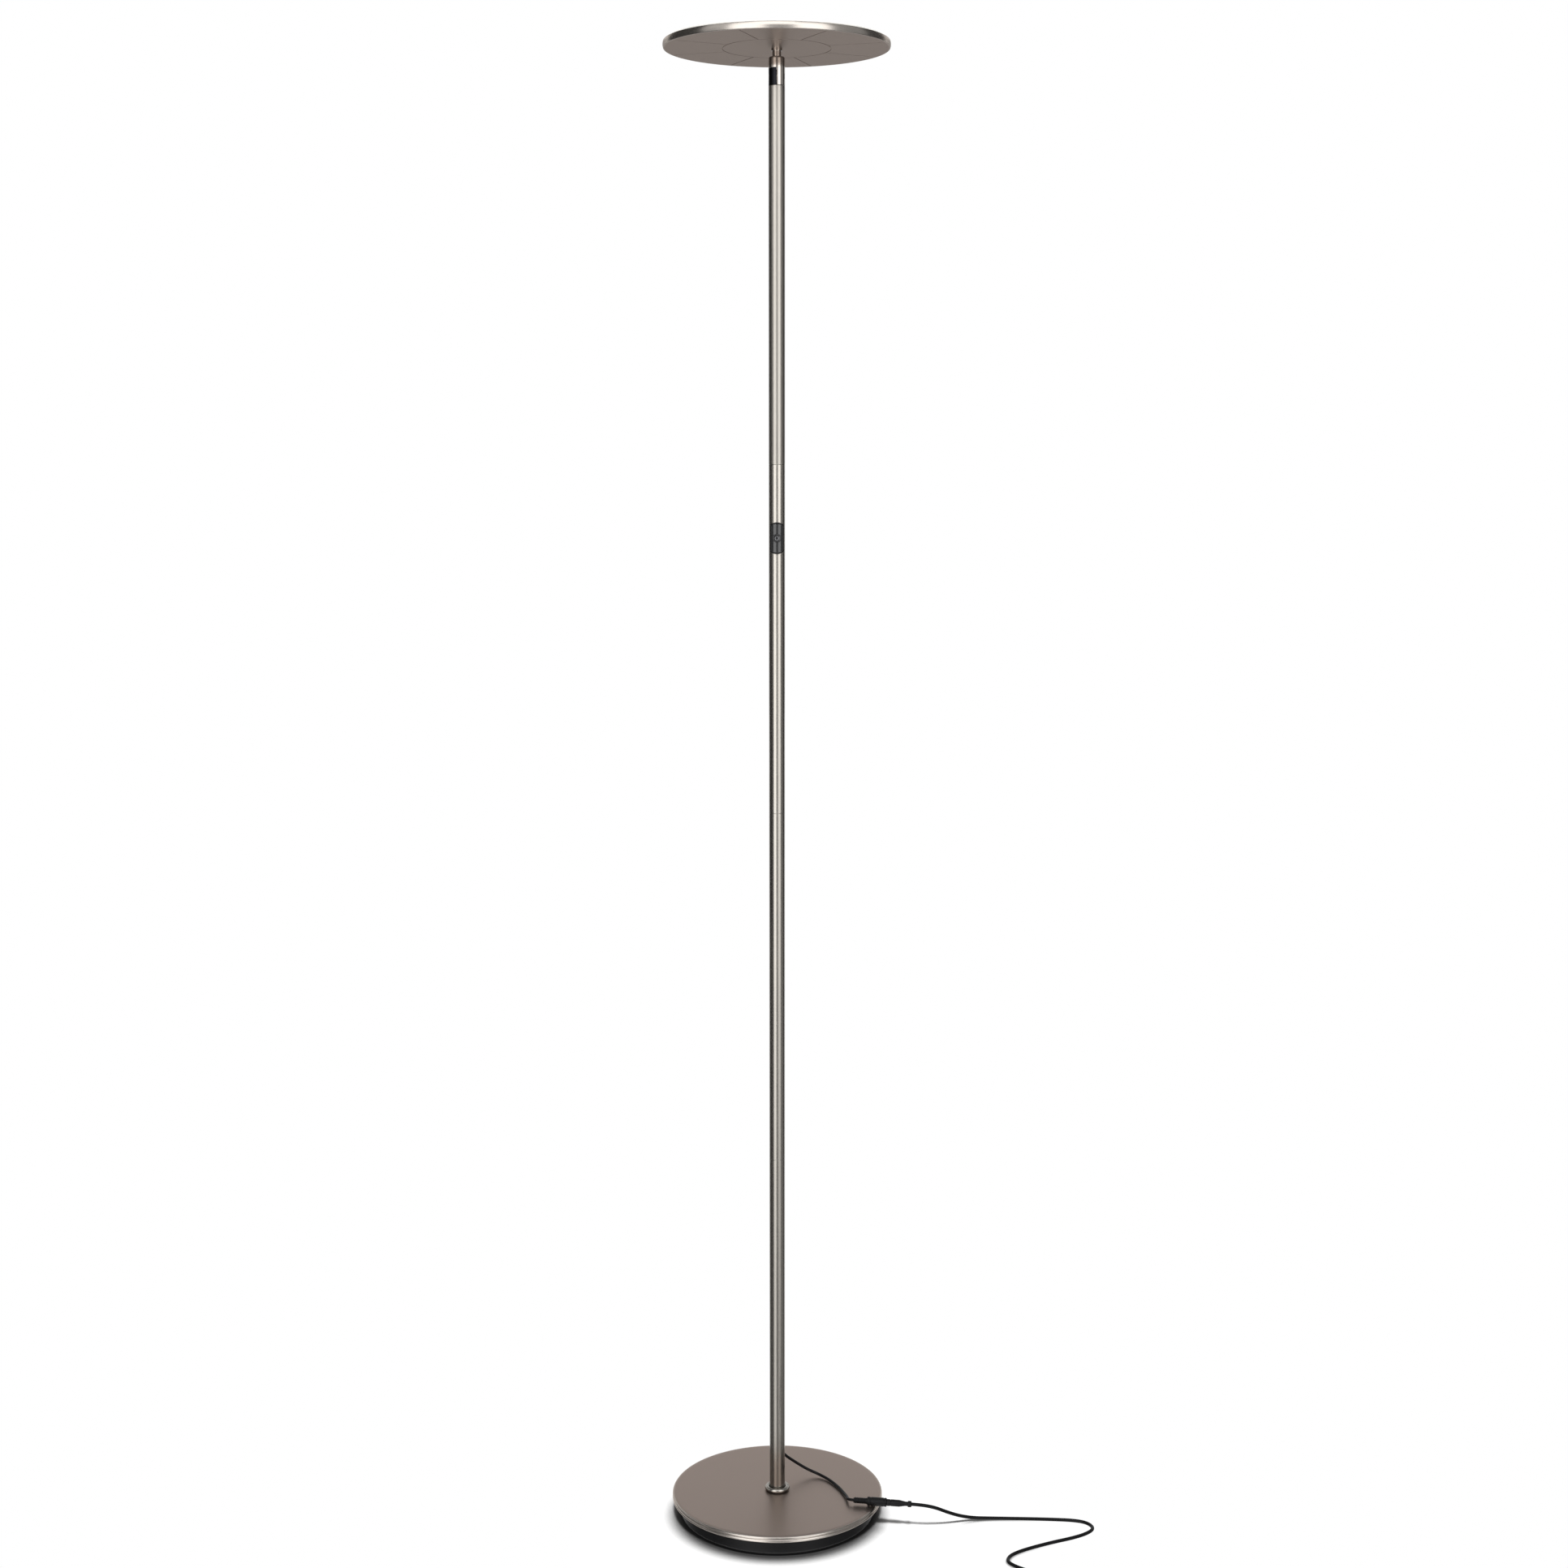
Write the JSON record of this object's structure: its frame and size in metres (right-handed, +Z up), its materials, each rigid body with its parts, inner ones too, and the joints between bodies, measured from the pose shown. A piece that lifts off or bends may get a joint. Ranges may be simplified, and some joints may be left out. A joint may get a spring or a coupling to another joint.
{
  "type": "torchiere floor lamp",
  "caption": "Slim torchiere floor lamp: a flat round uplight head on a tilting knuckle, a sectioned pole with a push switch, a weighted round base and an adapter cord.",
  "frame": {"origin": "on the floor under the middle of the pole", "axes": "+Z up along the pole, front with the switch towards -Y, +X to the right of the front"},
  "size_m": [0.4689, 0.3775, 1.603],
  "materials": {
    "satin_nickel_steel": "satin brushed nickel plate on steel",
    "satin_nickel_aluminium": "satin brushed nickel finish on spun aluminium",
    "polished_nickel": "polished dark nickel plate",
    "plated_steel": "zinc plated",
    "cast_iron": "rough cast",
    "black_plastic": "fine moulded texture",
    "gloss_black_plastic": "gloss moulded",
    "white_nylon": "moulded",
    "opal_acrylic": "opal, smooth",
    "aluminium_board": "white solder mask",
    "led_phosphor": "phosphor resin",
    "circuit_board": "green solder mask",
    "ferrite": "taped winding",
    "plated_brass": "nickel plated",
    "wire_vinyl": "insulated wire",
    "cord_vinyl": "soft vinyl",
    "foam_rubber": "foamed sheet"
  },
  "bodies": {
    "stand": {"adapter_blades": "plated_brass", "adapter_board": "circuit_board", "adapter_boot": "cord_vinyl", "adapter_case_bottom": "black_plastic", "adapter_case_top": "black_plastic", "adapter_transformer": "ferrite", "base_collar": "polished_nickel", "base_cover": "satin_nickel_steel", "base_nut": "plated_steel", "base_pan": "black_plastic", "base_stud": "plated_steel", "base_washer": "plated_steel", "base_weight": "cast_iron", "cord_coil": "cord_vinyl", "cord_grommet": "cord_vinyl", "cord_tie": "cord_vinyl", "coupler_socket_1": "plated_steel", "coupler_socket_2": "plated_steel", "coupler_socket_3": "plated_steel", "coupler_stud_1": "plated_steel", "coupler_stud_2": "plated_steel", "coupler_stud_3": "plated_steel", "dc_jack": "black_plastic", "dc_plug": "black_plastic", "dc_plug_barrel": "plated_brass", "foot_pad": "foam_rubber", "friction_washer": "white_nylon", "lead_cord": "cord_vinyl", "lower_knuckle": "polished_nickel", "pivot_cap_left": "polished_nickel", "pivot_ring": "plated_steel", "pole_foot_insert": "plated_steel", "pole_tube_bottom": "satin_nickel_steel", "pole_tube_lower": "satin_nickel_steel", "pole_tube_switch": "satin_nickel_steel", "pole_tube_top": "satin_nickel_steel", "pole_wire_lower": "wire_vinyl", "pole_wire_upper": "wire_vinyl", "power_cord": "cord_vinyl", "power_cord_tail": "cord_vinyl", "switch_board": "circuit_board", "switch_housing": "gloss_black_plastic", "tact_switch": "black_plastic"},
    "head": {"upper_knuckle": "polished_nickel", "pivot_cap_right": "polished_nickel", "neck_collar": "polished_nickel", "neck_nut": "plated_steel", "head_wire": "wire_vinyl", "head_housing": "satin_nickel_aluminium", "diffuser": "opal_acrylic", "led_board": "aluminium_board", "led_chips": "led_phosphor", "led_board_screws": "plated_steel"},
    "button": {"switch_button": "gloss_black_plastic", "tact_plunger": "black_plastic"}
  },
  "joints": [
    {"name": "head_tilt", "type": "hinge", "parent": "stand", "child": "head", "pos_m": [0, 0, 1.56485], "axis": [1, 0, 0], "range_deg": [-90, 0]},
    {"name": "power_press", "type": "slide", "parent": "stand", "child": "button", "axis": [0, 1, 0], "range_m": [0, 0.0008], "stiffness_N_per_m": 400}
  ]
}
